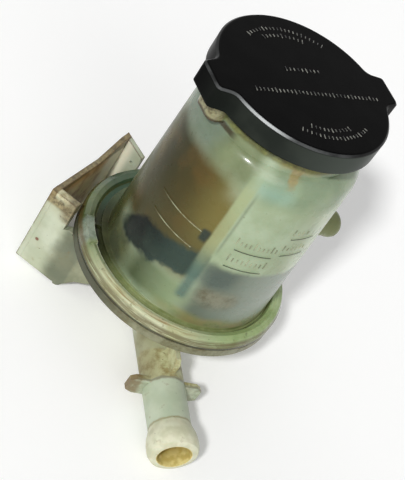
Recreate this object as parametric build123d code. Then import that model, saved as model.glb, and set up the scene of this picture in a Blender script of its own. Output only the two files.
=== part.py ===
"""Fluid reservoir of a power steering circuit: welded nylon shells, bayonet cap, strainer and baffle.

Millimetres. +Z runs up the axis of the weld flange, the neck and the cap. The origin is on that axis in
the plane of the foot. The bracket is on the -X side, the outlet nozzle leaves towards +X -Y, and the return
nozzle leaves towards +X +Y. The body's own axis stands a little to the +X side of the flange's axis.
"""
from build123d import *
from math import asin, cos, degrees, radians, sin, sqrt, tan
import os

# Weld flange, shared by the two shells
FLANGE_OUT = 9.1           # both flanges stand this far out of the body's foot
WELD_Z = 32.2              # plane in which the shells are welded
UPPER_FLANGE_EDGE = 2.8    # height of the upper flange's outer wall
LOWER_FLANGE_EDGE = 3.5    # height of the lower flange's outer wall
WELD_GAP = 0.5             # open line left between the flanges at the rim
WELD_GAP_DEPTH = 1.4       # how far the open line reaches in from the rim
RIM_CROWN_H = 2.6          # rise of the rounded rim over its outer edge
RIM_W = 6.1                # width of the rounded rim, from the flange's edge to the gutter
GUTTER_W = 2.4             # gutter between the rim and the low step at the body
GUTTER_Z = 35.4            # floor of that gutter
GUTTER_STEP_Z = 36.8       # top of that step

# Body of the upper shell, on its own axis
BODY_SHIFT = 2.4           # body axis to flange axis, towards +X
BODY_FOOT_R = 36.4         # outer radius at the gutter
BODY_DRAFT = 0.027         # loss of radius for each millimetre of height
BODY_TOP_Z = 117.4         # plane in which the shoulder ends
SHOULDER_R = 9.0           # radius of the shoulder
WALL = 2.4                 # wall of both shells

# Collar and neck
COLLAR_OUT = 2.2           # collar stands this far out of the neck
COLLAR_H = 3.6
COLLAR_EDGE = 2.0
NECK_SET_IN = 7.6          # radius of the body's foot less that of the neck
NECK_WALL = 2.4
NECK_H = 11.6              # rim of the neck above the shoulder
LUG_DEPTH = 2.0            # bayonet lugs stand this far out of the neck
LUG_H = 1.8
LUG_BELOW_RIM = 0.6        # rim of the neck to the top of the lugs
LUG_SPAN = 62.0            # degrees covered by one lug
LUG_AZIMUTHS = (55.0, 235.0)
STOP_AZIMUTH = 236.5       # tongue on the neck that shows below the ear
STOP_OUT = 8.2             # how far the tongue stands out of the neck
STOP_W = 12.4
STOP_CORNER = 3.6
STOP_ROOM = 1.7            # top of the tongue to the cap's lower edge

# Level lines moulded on the body: (height, first azimuth, last azimuth)
LEVEL_LINES = (
    (78.6, -122.0, -85.0),
    (69.8, -120.0, -85.0),
    (79.0, -63.0, -38.0),
    (70.2, -63.0, -38.0),
    (80.6, -33.0, -14.0),
    (89.6, -33.0, -14.0),
)
LEVEL_LINE_W = 0.7
LEVEL_LINE_OUT = 0.35
RIM_PAD_AZIMUTHS = (-148.0, -129.0)
RIM_PAD_W = 5.0
RIM_PAD_OUT = 0.9
GUTTER_RIB_AZIMUTH = -146.0
GUTTER_RIB_W = 1.3

# Cap
SKIRT_ROOM = 2.7           # bayonet lugs to the inside of the skirt
CAP_H = 9.3
CAP_ROOF = 2.6
CAP_WALL = 2.2
CAP_EDGE = 0.9             # chamfer of the top edge
EAR_AZIMUTHS = (55.5, 235.5)
EAR_OUT = 5.8              # flat end of an ear stands this far out of the skirt
EAR_END_W = 14.0
EAR_TAPER = 15.0           # degrees between each side of an ear and its axis
EAR_CORNER = 2.2           # rounding at the end of an ear
EAR_BLEND = 4.0            # hollow rounding where an ear meets the skirt
CLAW_CLEARANCE = 0.3       # claws to lugs, in height and in radius
CLAW_H = 1.8
CLAW_SPAN = 56.0
CENTRING_CLEARANCE = 0.3   # cap's inner collar to the inside of the neck
CENTRING_WALL = 1.8
CENTRING_H = 6.5
GASKET_CLEARANCE = 0.3     # gasket to the rim of the neck
GASKET_T = 1.7
CAP_RIBS = 6
CAP_RIB_T = 1.4

# Lower shell
FOOT_R = 10.5
BOWL_SET_IN = 6.5          # flange's edge to the bowl under it
BOWL_WALL = 2.5
BOWL_LIP_H = 1.6           # upright part of the bowl below the flange
LEDGE_Z = 29.4             # ledge that carries the strainer
LEDGE_WALL = 2.2           # wall left outside the ledge
LEDGE_W = 2.4

# Outlet nozzle
OUTLET_AZIMUTH = -48.35
OUTLET_Z = 12.0
OUTLET_SIDE = -5.9         # nozzle axis beside the reservoir axis
OUTLET_OUT = 37.1          # end of the nozzle beyond the flange's edge
OUTLET_R = 8.45
OUTLET_BORE_R = 6.7
OUTLET_BEAD_R = 10.1
OUTLET_BEAD_LEN = 12.0
BEAD_LAND = 3.0            # straight stretch at the top of a bead
OUTLET_ROOT = 8.0          # where the tube starts inside the bowl
WING_OUT = 4.3             # stop wings beyond the flange's edge
WING_T = 2.6
WING_REACH = 15.2
WING_H = 8.4
WING_TIP_H = 5.6
OUTLET_RIB_T = 2.2
OUTLET_RIB_TOP_Z = 27.0

# Return nozzle
RETURN_AZIMUTH = 61.6
RETURN_Z = 48.0
RETURN_OUT = 38.1          # end of the nozzle beyond the body's foot
RETURN_R = 5.2
RETURN_BORE_R = 3.6
RETURN_BEAD_R = 6.3
RETURN_BEAD_LEN = 7.0
RETURN_ROOT_R = 7.6
RETURN_ROOT_LEN = 5.0

# Bracket
PLATE_OUT = 7.5            # outer face of the plate beyond the flange's edge
PLATE_T = 2.3
PLATE_W = 56.0
PLATE_FOOT_Z = 1.0         # lower edge of the plate
PLATE_TOP_Z = 40.8         # near end of the plate's upper edge
PLATE_DIP_Z = 38.2         # lowest point of that edge
PLATE_PEAK_Z = 42.8        # its level stretch at the far end
NEAR_WEB_T = 3.4
FAR_WEB_T = 2.6
WEB_BEND_IN = 10.5         # a web turns in towards the bowl this far inside the flange's edge
WEB_BEND_SIDE = 1.1        # and by then stands this far inside the end of the plate
WEB_END_IN = 26.5          # where it has run into the bowl
WEB_CLEAR_IN = 4.3         # free inner edge of a web beside the flange
WEB_FLANGE_GAP = 1.0       # web to the underside of the flange's overhang, at the notch
WEB_STEP_IN = 11.3         # where the lower edge of a web steps down to its toe
FAR_WEB_DROP = 4.0         # slope of the far web's top
WEB_HOLE_R = 0.8
WEB_HOLE_IN = 8.4          # hole to the outer face of the plate
WEB_HOLE_Z = 33.4

# Strainer and baffle
FRAME_W = 4.5
FRAME_CLEARANCE = 0.3
FRAME_SPOKES = 6
SPOKE_W = 2.6
HUB_R = 4.0
MESH_T = 0.5
BAFFLE_AZIMUTH = -73.5
BAFFLE_T = 1.8
BAFFLE_EDGE_W = 5.2
BAFFLE_EDGE_T = 1.4
BAFFLE_BELOW_ROOF = 7.4    # outside of the shoulder to the top of the baffle
BAFFLE_DEPTH = 44.0
SEAT_CLEARANCE = 0.3

ABOVE = 0.5                # overlap of a raised feature with the wall that carries it
FLANGE_R = BODY_FOOT_R + FLANGE_OUT
RIM_INNER_R = FLANGE_R - RIM_W
GUTTER_STEP_R = RIM_INNER_R - GUTTER_W
NECK_R = BODY_FOOT_R - NECK_SET_IN
COLLAR_R = NECK_R + COLLAR_OUT
CAP_R = NECK_R + LUG_DEPTH + SKIRT_ROOM + CAP_WALL
EAR_REACH = CAP_R + EAR_OUT
CENTRING_R = NECK_R - NECK_WALL - CENTRING_CLEARANCE
BOWL_TOP_R = FLANGE_R - BOWL_SET_IN
LEDGE_OUTER_R = BOWL_TOP_R - LEDGE_WALL
LEDGE_INNER_R = LEDGE_OUTER_R - LEDGE_W
OUTLET_END = FLANGE_R + OUTLET_OUT
WING_AT = FLANGE_R + WING_OUT
OUTLET_RIB_END = WING_AT - 0.8
RETURN_END = BODY_FOOT_R + RETURN_OUT
PLATE_X = FLANGE_R + PLATE_OUT
WEB_CLEAR_X = FLANGE_R - WEB_CLEAR_IN
WEB_STEP_X = FLANGE_R - WEB_STEP_IN
WEB_BEND = (WEB_BEND_IN - FLANGE_R, PLATE_W / 2 - WEB_BEND_SIDE)
WEB_END = (WEB_END_IN - FLANGE_R, PLATE_W * 0.375)
WEB_HOLE = (WEB_HOLE_IN - PLATE_X, WEB_HOLE_Z)
PLATE_DIP = (PLATE_W * 0.125, PLATE_DIP_Z)
PLATE_PEAK = (PLATE_W * 0.4, PLATE_PEAK_Z)
UPPER_FLANGE_TOP = WELD_Z + UPPER_FLANGE_EDGE
LOWER_FLANGE_BOTTOM = WELD_Z - WELD_GAP - LOWER_FLANGE_EDGE
NECK_TOP_Z = BODY_TOP_Z + NECK_H
ROOF_Z = NECK_TOP_Z + GASKET_CLEARANCE + GASKET_T
CAP_TOP_Z = ROOF_Z + CAP_ROOF
CAP_BOTTOM_Z = CAP_TOP_Z - CAP_H
STOP_TOP_Z = CAP_BOTTOM_Z - STOP_ROOM
BAFFLE_TOP_Z = BODY_TOP_Z - BAFFLE_BELOW_ROOF
LUG_TOP_Z = NECK_TOP_Z - LUG_BELOW_RIM
LUG_BOTTOM_Z = LUG_TOP_Z - LUG_H
UPWARDS = (Align.CENTER, Align.CENTER, Align.MIN)
DOWNWARDS = (Align.CENTER, Align.CENTER, Align.MAX)


def body_radius(z):
    """Outer radius of the drafted body at height z."""
    return BODY_FOOT_R - BODY_DRAFT * (z - GUTTER_Z)


def polar(r, azimuth, z=0.0):
    """Point at a radius and azimuth about the flange axis."""
    return (r * cos(radians(azimuth)), r * sin(radians(azimuth)), z)


def turned(points, x=0.0, angle=360.0, start=0.0):
    """Solid of revolution from a closed (radius, height) outline about an upright axis at x."""
    outline = make_face(Polyline(*[(r, 0, z) for r, z in points], close=True))
    solid = revolve(outline, axis=Axis.Z, revolution_arc=angle)
    return Pos(x, 0, 0) * Rot(0, 0, start) * solid


def tube_frame(azimuth, side, z):
    """Location whose Z axis runs outwards along a level nozzle, and whose Y axis points up."""
    out = Vector(cos(radians(azimuth)), sin(radians(azimuth)), 0)
    left = Vector(-out.Y, out.X, 0)
    return Location(Plane(origin=left * side + Vector(0, 0, z), x_dir=left, z_dir=out))


def arc(centre, radius, first, last, steps):
    """Points along an arc of an outline, in degrees from the outward direction."""
    r, z = centre
    angles = [radians(first + (last - first) * k / steps) for k in range(steps + 1)]
    return [(r + radius * cos(a), z + radius * sin(a)) for a in angles]


def nozzle(start, end, radius, bead_r, bead_len, land):
    """Plain tube with a rounded bead at its end, along +Z of its own frame."""
    nose = (bead_r - radius) * 1.6
    foot = end - bead_len
    rise = end - land - nose - foot
    step = bead_r - radius
    return turned(
        [
            (0, start),
            (radius, start),
            (radius, foot),
            (radius + step * 0.75, foot + rise * 0.6),
            (bead_r, foot + rise),
            (bead_r, end - nose),
            (bead_r - nose * 0.3, end - nose * 0.25),
            (bead_r - nose, end),
            (0, end),
        ]
    )


def flange_rim():
    """Upper flange: gutter, rounded rim and outer wall, as a disc about the flange axis."""
    half = (FLANGE_R - RIM_INNER_R) / 2
    radius = (half * half + RIM_CROWN_H * RIM_CROWN_H) / (2 * RIM_CROWN_H)
    centre = (RIM_INNER_R + half, UPPER_FLANGE_TOP + RIM_CROWN_H - radius)
    spread = degrees(asin(half / radius))
    return turned(
        [
            (0, GUTTER_STEP_Z),
            (0, WELD_Z),
            (FLANGE_R, WELD_Z),
            *arc(centre, radius, 90 - spread, 90 + spread, 4),
            (RIM_INNER_R, GUTTER_Z),
            (GUTTER_STEP_R, GUTTER_Z),
            (GUTTER_STEP_R, GUTTER_STEP_Z),
        ]
    )


def body_form(inset, bottom_z, steps):
    """Drafted body with its shoulder, pulled in by inset all round, about the body's own axis."""
    edge = SHOULDER_R - inset
    level = BODY_TOP_Z - SHOULDER_R
    centre = (body_radius(level) - SHOULDER_R, level)
    return turned(
        [
            (0, bottom_z),
            (body_radius(bottom_z) - inset, bottom_z),
            *arc(centre, edge, 0, 90, steps),
            (0, BODY_TOP_Z - inset),
        ],
        x=BODY_SHIFT,
    )


def neck_form():
    """Collar on the shoulder and neck above it."""
    root_z = BODY_TOP_Z - SHOULDER_R
    collar_top = BODY_TOP_Z + COLLAR_H
    return turned(
        [
            (0, root_z),
            (COLLAR_R, root_z),
            *arc((COLLAR_R - COLLAR_EDGE, collar_top - COLLAR_EDGE), COLLAR_EDGE, 0, 90, 2),
            (NECK_R, collar_top),
            (NECK_R, NECK_TOP_Z),
            (0, NECK_TOP_Z),
        ]
    )


def bayonet_lug(azimuth):
    """One lug of the neck, with a lead-in slope at the end where the claw enters."""
    lug = turned(
        [
            (NECK_R - ABOVE, LUG_BOTTOM_Z),
            (NECK_R + LUG_DEPTH, LUG_BOTTOM_Z),
            (NECK_R + LUG_DEPTH, LUG_TOP_Z - LUG_DEPTH / 3),
            (NECK_R - ABOVE, LUG_TOP_Z),
        ],
        angle=LUG_SPAN,
        start=azimuth - LUG_SPAN / 2,
    )
    return lug


def neck_stop():
    """Tongue on the neck that shows below the ear of the closed cap."""
    length = NECK_R + STOP_OUT
    plan = Rectangle(length, STOP_W, align=(Align.MIN, Align.CENTER))
    corners = plan.vertices().sort_by(Axis.X)[-2:]
    plan = fillet(corners, STOP_CORNER) - Circle(NECK_R - ABOVE)
    foot = BODY_TOP_Z - ABOVE
    return Rot(0, 0, STOP_AZIMUTH) * Pos(0, 0, foot) * extrude(plan, STOP_TOP_Z - foot)


def level_line(z, first, last):
    """Fine raised line round part of the body."""
    r = body_radius(z)
    half = LEVEL_LINE_W / 2
    outline = [
        (r - ABOVE, z - half),
        (r + LEVEL_LINE_OUT, z - half * 0.6),
        (r + LEVEL_LINE_OUT, z + half * 0.6),
        (r - ABOVE, z + half),
    ]
    return turned(outline, x=BODY_SHIFT, angle=last - first, start=first)


def rim_pad():
    """Flat pad on the rim, near the bracket, and the small rib that crosses the gutter beside it."""
    first, last = RIM_PAD_AZIMUTHS
    mid = (RIM_INNER_R + FLANGE_R) / 2
    top = UPPER_FLANGE_TOP + RIM_CROWN_H + RIM_PAD_OUT
    pad = turned(
        [
            (mid - RIM_PAD_W / 2, GUTTER_Z),
            (mid + RIM_PAD_W / 2, GUTTER_Z),
            (mid + RIM_PAD_W / 2 - RIM_PAD_OUT, top),
            (mid - RIM_PAD_W / 2 + RIM_PAD_OUT, top),
        ],
        angle=last - first,
        start=first,
    )
    inner = BODY_FOOT_R - BODY_SHIFT - ABOVE
    rib_len = RIM_INNER_R + ABOVE - inner
    rib_h = UPPER_FLANGE_TOP + RIM_CROWN_H / 2 - GUTTER_Z + ABOVE
    rib = Box(rib_len, GUTTER_RIB_W, rib_h, align=(Align.MIN, Align.CENTER, Align.MIN))
    rib = Rot(0, 0, GUTTER_RIB_AZIMUTH) * Pos(inner, 0, GUTTER_Z - ABOVE) * rib
    return pad + rib


def upper_shell():
    """Translucent upper shell."""
    outer = body_form(0, GUTTER_Z - ABOVE, 4)
    shell = outer + flange_rim() + neck_form()
    for azimuth in LUG_AZIMUTHS:
        shell += bayonet_lug(azimuth)
    shell += neck_stop()
    for z, first, last in LEVEL_LINES:
        shell += level_line(z, first, last)
    shell += rim_pad()

    place = tube_frame(RETURN_AZIMUTH, 0, RETURN_Z)
    shell += place * nozzle(
        body_radius(RETURN_Z) - WALL, RETURN_END, RETURN_R, RETURN_BEAD_R, RETURN_BEAD_LEN, BEAD_LAND / 2
    )
    root_end = body_radius(RETURN_Z) + BODY_SHIFT + RETURN_ROOT_LEN
    root_start = body_radius(RETURN_Z) - WALL
    root = Cone(RETURN_ROOT_R, RETURN_R, root_end - root_start, align=UPWARDS)
    shell += place * Pos(0, 0, root_start) * root

    shell -= body_form(WALL, WELD_Z, 2)
    throat = Cylinder(NECK_R - NECK_WALL, NECK_TOP_Z - BODY_TOP_Z + SHOULDER_R, align=UPWARDS)
    shell -= Pos(0, 0, BODY_TOP_Z - SHOULDER_R) * throat
    bore_start = body_radius(RETURN_Z) - 2 * WALL
    bore = Cylinder(RETURN_BORE_R, RETURN_END - bore_start, align=UPWARDS)
    shell -= place * Pos(0, 0, bore_start) * bore
    return shell


def bowl_outer():
    """Half section of the bowl's outside."""
    return [
        (0, 0),
        (FOOT_R, 0),
        (BOWL_TOP_R, LOWER_FLANGE_BOTTOM - BOWL_LIP_H),
        (BOWL_TOP_R, WELD_Z),
        (0, WELD_Z),
    ]


def bowl_inner():
    """Half section of the room in the bowl, with the ledge for the strainer."""
    slope = (BOWL_TOP_R - FOOT_R) / (LOWER_FLANGE_BOTTOM - BOWL_LIP_H)
    shift = BOWL_WALL * sqrt(1 + slope * slope)
    turn_z = (LEDGE_INNER_R - FOOT_R + shift) / slope
    return [
        (0, BOWL_WALL),
        (FOOT_R - shift + slope * BOWL_WALL, BOWL_WALL),
        (LEDGE_INNER_R, turn_z),
        (LEDGE_INNER_R, LEDGE_Z),
        (LEDGE_OUTER_R, LEDGE_Z),
        (LEDGE_OUTER_R, WELD_Z),
        (0, WELD_Z),
    ]


def lower_flange():
    """Lower flange with the open line left at the rim of the weld."""
    return turned(
        [
            (0, LOWER_FLANGE_BOTTOM),
            (FLANGE_R, LOWER_FLANGE_BOTTOM),
            (FLANGE_R, WELD_Z - WELD_GAP),
            (FLANGE_R - WELD_GAP_DEPTH, WELD_Z - WELD_GAP),
            (FLANGE_R - WELD_GAP_DEPTH, WELD_Z),
            (0, WELD_Z),
        ]
    )


def outlet_solid():
    """Outlet nozzle with its stop wings and the rib that ties it to the flange."""
    tube = nozzle(OUTLET_ROOT, OUTLET_END, OUTLET_R, OUTLET_BEAD_R, OUTLET_BEAD_LEN, BEAD_LAND)
    with BuildSketch() as wing_face:
        with BuildLine():
            Polyline(
                (0, -WING_H / 2),
                (WING_REACH * 0.8, -WING_H / 2),
                (WING_REACH, -WING_TIP_H / 2),
                (WING_REACH, WING_TIP_H / 2),
                (WING_REACH * 0.86, WING_H / 2),
                (0, WING_H / 2),
                close=True,
            )
        make_face()
    wing = extrude(wing_face.sketch, WING_T)
    tube += Pos(0, 0, WING_AT) * wing
    tube += Pos(0, 0, WING_AT) * mirror(wing, Plane.YZ)
    rib_top = OUTLET_RIB_TOP_Z - OUTLET_Z
    rib_root = LOWER_FLANGE_BOTTOM + ABOVE - OUTLET_Z
    with BuildSketch(Plane.YZ) as rib_face:
        with BuildLine():
            Polyline(
                (0, OUTLET_ROOT),
                (rib_root, OUTLET_ROOT),
                (rib_root, FLANGE_R - 3.0),
                (rib_top, FLANGE_R - 1.5),
                (rib_top, OUTLET_RIB_END - 1.0),
                (rib_top - 1.5, OUTLET_RIB_END + 1.0),
                (OUTLET_R, WING_AT + 0.5),
                (0, WING_AT + 0.5),
                close=True,
            )
        make_face()
    rib = extrude(rib_face.sketch, OUTLET_RIB_T / 2, both=True)
    return tube + rib


def bracket_web(near):
    """End web of the bracket: side view cut from a bent upright wall that runs from the plate to the bowl."""
    top_out = PLATE_TOP_Z if near else PLATE_PEAK[1]
    top_in = PLATE_TOP_Z if near else PLATE_PEAK[1] - FAR_WEB_DROP
    under = LOWER_FLANGE_BOTTOM - WEB_FLANGE_GAP
    toe = -WEB_STEP_X
    with BuildSketch(Plane.XZ) as side:
        with BuildLine():
            Polyline(
                (-PLATE_X, PLATE_FOOT_Z),
                (-PLATE_X, top_out),
                (-WEB_CLEAR_X, top_in),
                (-WEB_CLEAR_X, under),
                (-WEB_CLEAR_X + 2.0, LOWER_FLANGE_BOTTOM + ABOVE),
                (WEB_END[0], LOWER_FLANGE_BOTTOM + ABOVE),
                (WEB_END[0], 10.0),
                (toe + 12.2, 8.4),
                (toe + 7.2, 6.0),
                (toe + 3.8, 2.2),
                (toe + 2.6, 0.5),
                (toe + 1.8, 0),
                (toe + 0.5, 0),
                (-WEB_STEP_X, PLATE_FOOT_Z),
                close=True,
            )
        make_face()
    view = extrude(side.sketch, PLATE_W, both=True)
    thick = NEAR_WEB_T if near else FAR_WEB_T
    y = PLATE_W / 2
    with BuildSketch() as plan:
        with BuildLine():
            Polyline(
                (-PLATE_X, y),
                WEB_BEND,
                WEB_END,
                (WEB_END[0], WEB_END[1] - thick),
                (WEB_BEND[0], WEB_BEND[1] - thick),
                (-PLATE_X, y - thick),
                close=True,
            )
        make_face()
    wall = extrude(plan.sketch, 2 * PLATE_TOP_Z, both=True)
    if near:
        return mirror(wall, Plane.XZ) & view
    x, z = WEB_HOLE
    return (wall & view) - Pos(x, y, z) * Rot(90, 0, 0) * Cylinder(WEB_HOLE_R, 4 * thick)


def bracket():
    """Plate and the two end webs that tie it to the bowl."""
    y = PLATE_W / 2
    with BuildSketch(Plane.YZ) as face:
        with BuildLine():
            Polyline(
                (-y, PLATE_FOOT_Z),
                (y, PLATE_FOOT_Z),
                (y, PLATE_PEAK[1] - 1.2),
                (y - 1.2, PLATE_PEAK[1]),
                PLATE_PEAK,
                PLATE_DIP,
                (-y, PLATE_TOP_Z),
                close=True,
            )
        make_face()
    plate = Pos(-PLATE_X, 0, 0) * extrude(face.sketch, PLATE_T)
    return plate + bracket_web(True) + bracket_web(False)


def lower_shell():
    """Lower shell with outlet nozzle and bracket."""
    place = tube_frame(OUTLET_AZIMUTH, OUTLET_SIDE, OUTLET_Z)
    shell = turned(bowl_outer()) + lower_flange()
    shell += place * outlet_solid()
    shell += bracket()
    shell -= turned(bowl_inner())
    bore = Cylinder(OUTLET_BORE_R, OUTLET_END - OUTLET_ROOT + 4.0, align=UPWARDS)
    shell -= place * Pos(0, 0, OUTLET_ROOT - 4.0) * bore
    return shell


def cap_plan():
    """Plan of the cap: a disc with a grip ear on each side, blended into the skirt."""
    end = EAR_END_W / 2
    spread = end + EAR_REACH * tan(radians(EAR_TAPER))
    plan = Circle(CAP_R)
    for azimuth in EAR_AZIMUTHS:
        ear = make_face(Polyline((0, -spread), (EAR_REACH, -end), (EAR_REACH, end), (0, spread), close=True))
        plan += Rot(0, 0, azimuth) * ear
    corners = [v for v in plan.vertices() if v.center().length > CAP_R + EAR_OUT / 2]
    plan = fillet(corners, EAR_CORNER)
    roots = [v for v in plan.vertices() if v.center().length < CAP_R + 0.01]
    return fillet(roots, EAR_BLEND)


def cap():
    """Cap moulding: roof, skirt, ears, claws and centring collar."""
    solid = Pos(0, 0, CAP_BOTTOM_Z) * extrude(cap_plan(), CAP_H)
    solid = chamfer(solid.faces().sort_by(Axis.Z)[-1].edges(), CAP_EDGE)
    room = Cylinder(CAP_R - CAP_WALL, ROOF_Z - CAP_BOTTOM_Z, align=UPWARDS)
    solid -= Pos(0, 0, CAP_BOTTOM_Z) * room
    collar_h = CENTRING_H
    collar = Cylinder(CENTRING_R, collar_h, align=DOWNWARDS)
    collar -= Cylinder(CENTRING_R - CENTRING_WALL, collar_h, align=DOWNWARDS)
    solid += Pos(0, 0, ROOF_Z) * collar
    for k in range(CAP_RIBS):
        length = CENTRING_R - CENTRING_WALL / 2
        rib = Box(length, CAP_RIB_T, CENTRING_H / 2, align=(Align.MIN, Align.CENTER, Align.MAX))
        solid += Rot(0, 0, 360 / CAP_RIBS * k) * Pos(0, 0, ROOF_Z) * rib

    claw_top = LUG_BOTTOM_Z - CLAW_CLEARANCE
    for azimuth in LUG_AZIMUTHS:
        solid += turned(
            [
                (NECK_R + CLAW_CLEARANCE, claw_top - CLAW_H + 0.6),
                (NECK_R + CLAW_CLEARANCE + 0.6, claw_top - CLAW_H),
                (CAP_R - CAP_WALL + ABOVE, claw_top - CLAW_H),
                (CAP_R - CAP_WALL + ABOVE, claw_top),
                (NECK_R + CLAW_CLEARANCE, claw_top),
            ],
            angle=CLAW_SPAN,
            start=azimuth - CLAW_SPAN / 2,
        )
    return solid


def cap_gasket():
    """Flat rubber ring held round the cap's centring collar."""
    outer = NECK_R + CLAW_CLEARANCE
    inner = CENTRING_R
    top = ROOF_Z
    bottom = NECK_TOP_Z + GASKET_CLEARANCE
    return turned([(inner, bottom), (outer, bottom), (outer, top), (inner, top)])


def strainer_frame():
    """Ring with spokes that lies on the ledge of the bowl just under the weld."""
    outer = LEDGE_OUTER_R - FRAME_CLEARANCE
    height = WELD_Z - LEDGE_Z
    disc = Cylinder(outer, height, align=UPWARDS)
    spokes = Cylinder(HUB_R, height, align=UPWARDS)
    for k in range(FRAME_SPOKES):
        spoke = Box(2 * outer, SPOKE_W, height, align=(Align.MIN, Align.CENTER, Align.MIN))
        spokes += Rot(0, 0, BAFFLE_AZIMUTH + 360 / FRAME_SPOKES * k) * spoke
    ring = disc - Cylinder(outer - FRAME_W, height, align=UPWARDS)
    frame = ring + (Pos(BODY_SHIFT, 0, 0) * spokes & disc)
    return Pos(0, 0, LEDGE_Z) * frame


def strainer_mesh():
    """Fine mesh under the frame, as one thin disc."""
    outer = LEDGE_INNER_R - FRAME_CLEARANCE
    return Pos(0, 0, LEDGE_Z) * Cylinder(outer, MESH_T, align=DOWNWARDS)


def baffle():
    """Upright plate on the strainer frame, with a wide strip along its front edge."""
    z0 = WELD_Z
    height = BAFFLE_TOP_Z - z0
    front = body_radius(BAFFLE_TOP_Z) - WALL - SEAT_CLEARANCE
    plate = Box(BAFFLE_DEPTH, BAFFLE_T, height, align=(Align.MAX, Align.CENTER, Align.MIN))
    strip = Box(BAFFLE_EDGE_T, BAFFLE_EDGE_W, height, align=(Align.MAX, Align.CENTER, Align.MIN))
    solid = Pos(front, 0, z0) * (plate + strip)
    return Pos(BODY_SHIFT, 0, 0) * Rot(0, 0, BAFFLE_AZIMUTH) * solid


PIECES = {
    "upper_shell": upper_shell,
    "lower_shell": lower_shell,
    "cap": cap,
    "cap_gasket": cap_gasket,
    "strainer_frame": strainer_frame,
    "strainer_mesh": strainer_mesh,
    "baffle": baffle,
}


def main():
    os.makedirs("parts", exist_ok=True)
    for name, make in PIECES.items():
        solid = make()
        export_step(solid, f"parts/{name}.step")
        print(name, len(solid.solids()), round(solid.volume, 1))


main()
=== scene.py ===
import math

import bmesh
import bpy
from mathutils import Matrix, Vector

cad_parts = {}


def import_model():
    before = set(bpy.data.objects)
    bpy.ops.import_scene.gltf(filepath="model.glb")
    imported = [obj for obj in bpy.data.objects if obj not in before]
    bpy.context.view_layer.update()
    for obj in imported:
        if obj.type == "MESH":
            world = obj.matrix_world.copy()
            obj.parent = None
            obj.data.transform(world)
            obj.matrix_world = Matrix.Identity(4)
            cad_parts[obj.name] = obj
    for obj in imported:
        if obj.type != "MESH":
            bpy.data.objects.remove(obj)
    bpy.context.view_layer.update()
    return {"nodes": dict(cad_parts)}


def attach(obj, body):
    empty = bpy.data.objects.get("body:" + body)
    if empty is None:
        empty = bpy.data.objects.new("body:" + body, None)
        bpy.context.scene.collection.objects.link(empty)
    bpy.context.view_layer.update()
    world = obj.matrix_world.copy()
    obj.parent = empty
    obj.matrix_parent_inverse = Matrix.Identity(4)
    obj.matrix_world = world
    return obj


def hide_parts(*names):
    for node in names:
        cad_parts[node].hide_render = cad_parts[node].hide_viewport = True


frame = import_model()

MM = 1000.0               # millimetres in one unit of the scene

# Places on the part, in millimetres and degrees
BODY_X = 2.4              # axis of the body beside the axis of the flange
BODY_FOOT_R = 36.4        # outer radius of the body at the gutter
BODY_FOOT_Z = 35.4
BODY_DRAFT = 0.027        # loss of radius for each millimetre of height
RIM_IN_R = 39.4           # inner edge of the rounded rim
RIM_STREAK_R = 43.5       # middle of the dirty streak along the front of the rim
FLANGE_R = 45.5
CAP_TOP_Z = 133.6
EAR_AZ = 55.5             # line through the two ears of the cap
NOZZLE_AZ = -48.35
NOZZLE_SIDE = -5.9        # axis of the outlet nozzle beside the axis of the flange
NOZZLE_Z = 12.0
WING_FACE = 52.4          # outer face of the stop wings, along the nozzle
BEAD_AT = 70.6            # where the bead of the nozzle starts
PLATE_X = -53.0           # outer face of the bracket's plate
NEAR_WEB_Y = -24.6        # inner faces of the bracket's two webs
FAR_WEB_Y = 25.4
WEB_SPOT = (-48.4, 14.5)  # red spot on the near web, as x and z

# Painted places on the body, as azimuths and heights
FAR_TURN = 70.0           # turns the jump of the azimuth from the left round to the far side
FAR_SIDE = 108.0          # middle of the side that has aged evenly
STRIP = (-79.2, -72.0)    # edge of the baffle, seen through the wall
OIL_Z = 68.5              # top of the grey film right of the strip
SLUDGE_TOP = (
    (-140.0, 51.0),
    (-131.0, 57.0),
    (-122.0, 62.5),
    (-110.0, 65.5),
    (-98.0, 66.5),
    (-86.0, 69.0),
    (-70.0, 70.5),
)
SLUDGE_BOTTOM = (
    (-140.0, 49.0),
    (-125.0, 48.0),
    (-112.0, 50.0),
    (-105.0, 50.5),
    (-97.0, 53.5),
    (-88.0, 55.0),
    (-70.0, 58.5),
)
DRIP = (
    (-80.0, 121.0),
    (-66.0, 118.5),
    (-59.0, 116.8),
    (-54.5, 112.5),
    (-51.0, 116.8),
    (-40.0, 118.5),
    (-20.0, 121.5),
)

# Ticks on the body: height, first and last azimuth, length of the long ones
LEVEL_TICKS = (
    (83.2, -64.0, -37.0, 3.4),
    (74.6, -63.0, -38.0, 3.4),
    (93.2, -33.0, -22.0, 3.0),
    (84.6, -33.0, -16.0, 3.0),
)
LEVEL_TICK_STEP = 3.0     # degrees
LEVEL_TICK_W = 0.55
LEVEL_TICK_H = 0.22
LEVEL_LONG_EVERY = 4
LEVEL_SHORT = 0.6         # short ticks as a share of the long ones

# Ticks on the cap: arcs as radius, first and last azimuth, rows as offset, start and end along the ears
CAP_ARCS = (
    (27.5, 104.0, 178.0),
    (23.8, 122.0, 166.0),
    (27.5, -64.0, 2.0),
    (23.8, -56.0, -14.0),
)
CAP_ROWS = (
    (5.7, -25.0, 31.0),
    (-6.1, -6.0, 9.0),
)
ARC_TICKS = (2.2, 1.5)    # lengths of the long and the short ones
ROW_TICKS = (2.4, 1.6)
CAP_TICK_STEP = 1.7
CAP_TICK_W = 0.45
CAP_TICK_H = 0.2
CAP_LONG_EVERY = 5
TICK_ROOT = 0.3           # how far a tick reaches into what carries it

# Camera: place, and the directions to its right, up and back
EYE = Vector((0.059282, -0.418071, 0.388486))
RIGHT = Vector((0.757708, 0.471230, 0.451465))
UP = Vector((-0.644231, 0.429722, 0.632697))
BACK = Vector((0.104142, -0.770247, 0.629185))
LENS = 102.2
SENSOR = 36.0

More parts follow.
